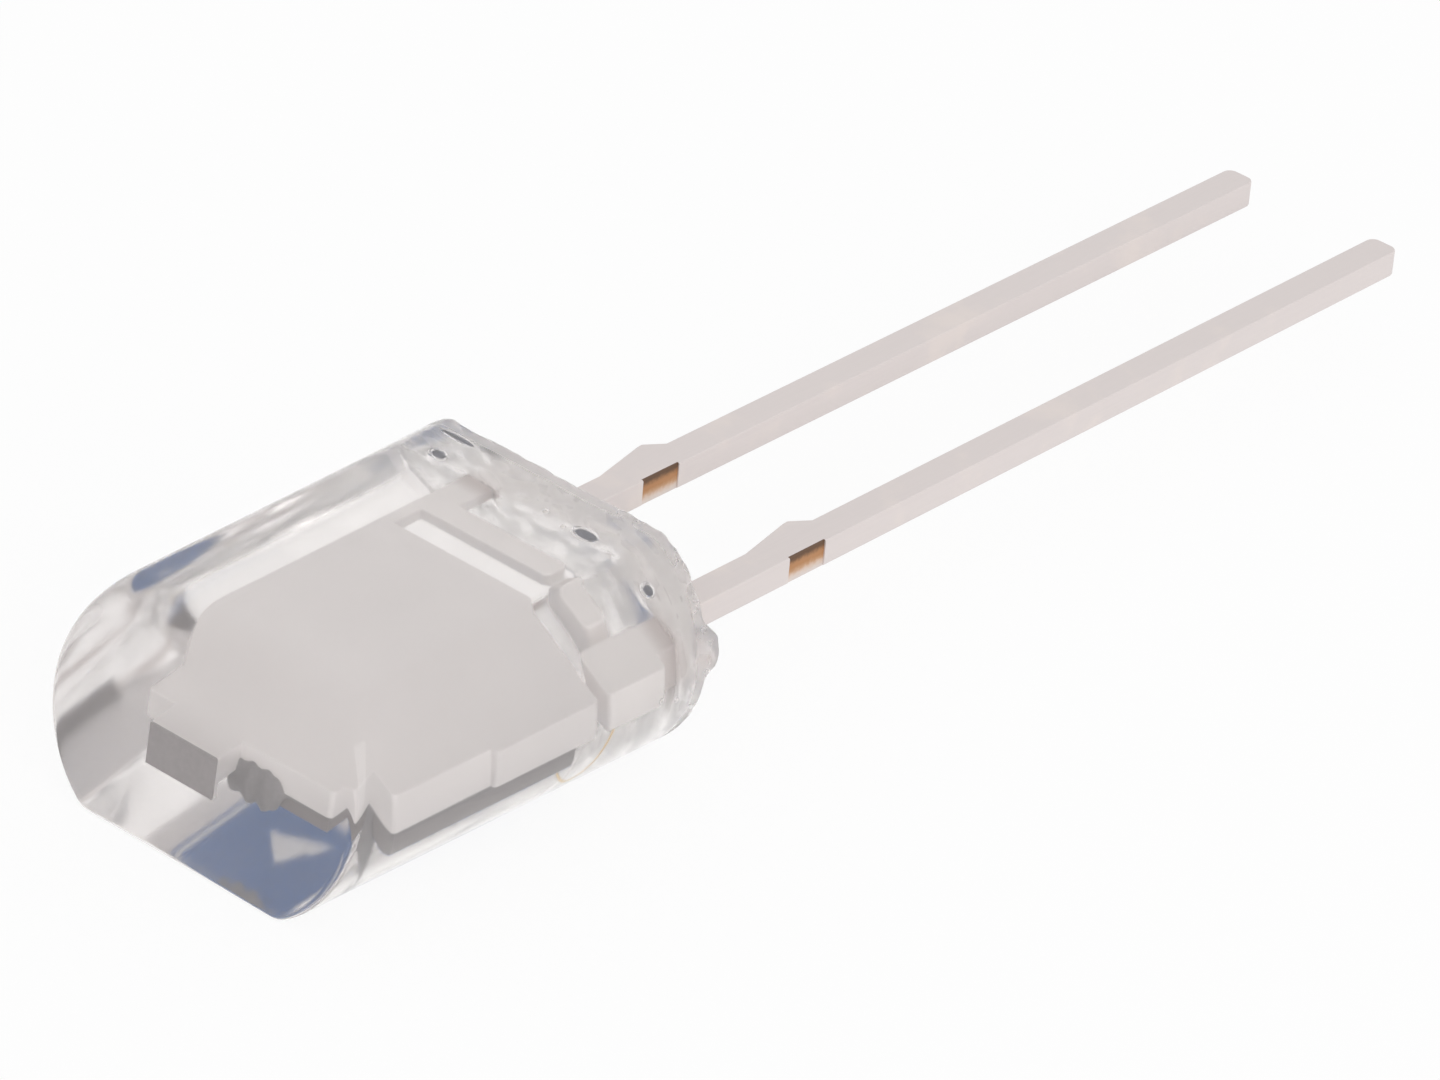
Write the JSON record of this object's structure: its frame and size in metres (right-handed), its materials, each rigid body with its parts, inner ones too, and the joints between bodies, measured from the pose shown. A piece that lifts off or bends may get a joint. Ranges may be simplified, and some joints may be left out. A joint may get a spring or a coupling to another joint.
{
  "type": "photodiode",
  "caption": "Clear side-looking photodiode: a cast epoxy block with bulged sides around a chip on a lead frame, with two long flat leads for a circuit board.",
  "frame": {"origin": "centre of the flat sensitive face, the face the part lies on", "axes": "+Y along the leads to their tips, +X across the leads, +Z from the sensitive face to the back"},
  "size_m": [0.0054, 0.0219, 0.003],
  "materials": {
    "clear_epoxy": "clear gloss",
    "plated_lead": "satin plating",
    "silicon": "polished, coated dark blue",
    "die_attach": "silver-filled adhesive",
    "contact_metal": "evaporated film",
    "bond_wire": "bright gold wire"
  },
  "bodies": {
    "root": {"epoxy_body": "clear_epoxy", "cathode_lead": "plated_lead", "anode_lead": "plated_lead", "die": "silicon", "die_attach": "die_attach", "die_contact": "contact_metal", "bond_wire": "bond_wire"}
  },
  "joints": []
}
